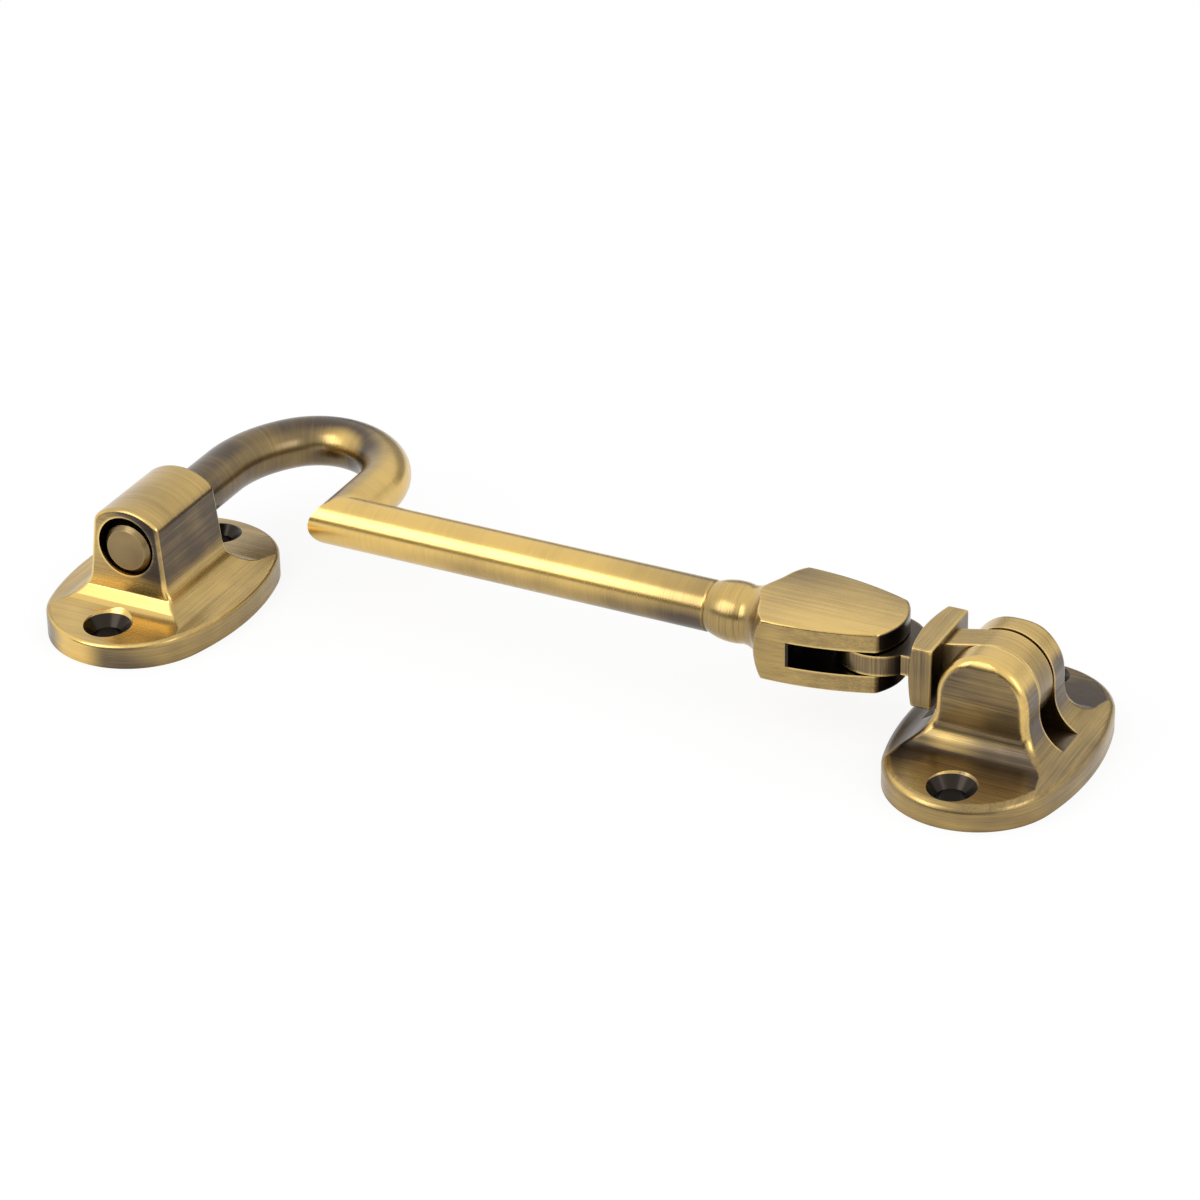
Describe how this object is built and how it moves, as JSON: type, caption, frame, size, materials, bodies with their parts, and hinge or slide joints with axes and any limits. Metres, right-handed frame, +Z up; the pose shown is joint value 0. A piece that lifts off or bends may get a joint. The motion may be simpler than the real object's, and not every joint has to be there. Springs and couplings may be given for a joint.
{
  "type": "cabin hook",
  "caption": "Cabin hook: a round bar hook on a forked swivel and a hinged oval back plate, with an oval eye plate whose bored block takes the hook's tip.",
  "frame": {"origin": "middle of the back plate's mounting face", "axes": "+X along the bar from the hook towards the back plate, +Y along the long axis of both plates, +Z up from the mounting face"},
  "size_m": [0.1758, 0.0661, 0.0219],
  "materials": {
    "bar_brass": "antique, brushed around the bar",
    "joint_brass": "antique, brushed along the bar",
    "pin_brass": "antique, turned",
    "plate_brass": "antique, brushed, with polished edges"
  },
  "bodies": {
    "base": {"back_plate": "plate_brass", "hinge_pin": "pin_brass"},
    "link": {"swivel_link": "joint_brass"},
    "arm": {"hook_arm": "bar_brass", "fork": "joint_brass", "fork_pin": "pin_brass"},
    "eye": {"eye_plate": "plate_brass"}
  },
  "joints": [
    {"name": "knuckle_hinge", "type": "hinge", "parent": "base", "child": "link", "pos_m": [0, 0, 0.0131], "axis": [0, 1, 0], "range_deg": [-4, 170]},
    {"name": "fork_hinge", "type": "hinge", "parent": "link", "child": "arm", "pos_m": [-0.0202, 0, 0.0147], "axis": [0, 0, 1], "range_deg": [-70, 70]},
    {"name": "eye_slide", "type": "slide", "parent": "arm", "child": "eye", "axis": [0, -1, 0], "range_m": [-0.008, 0.03]}
  ]
}
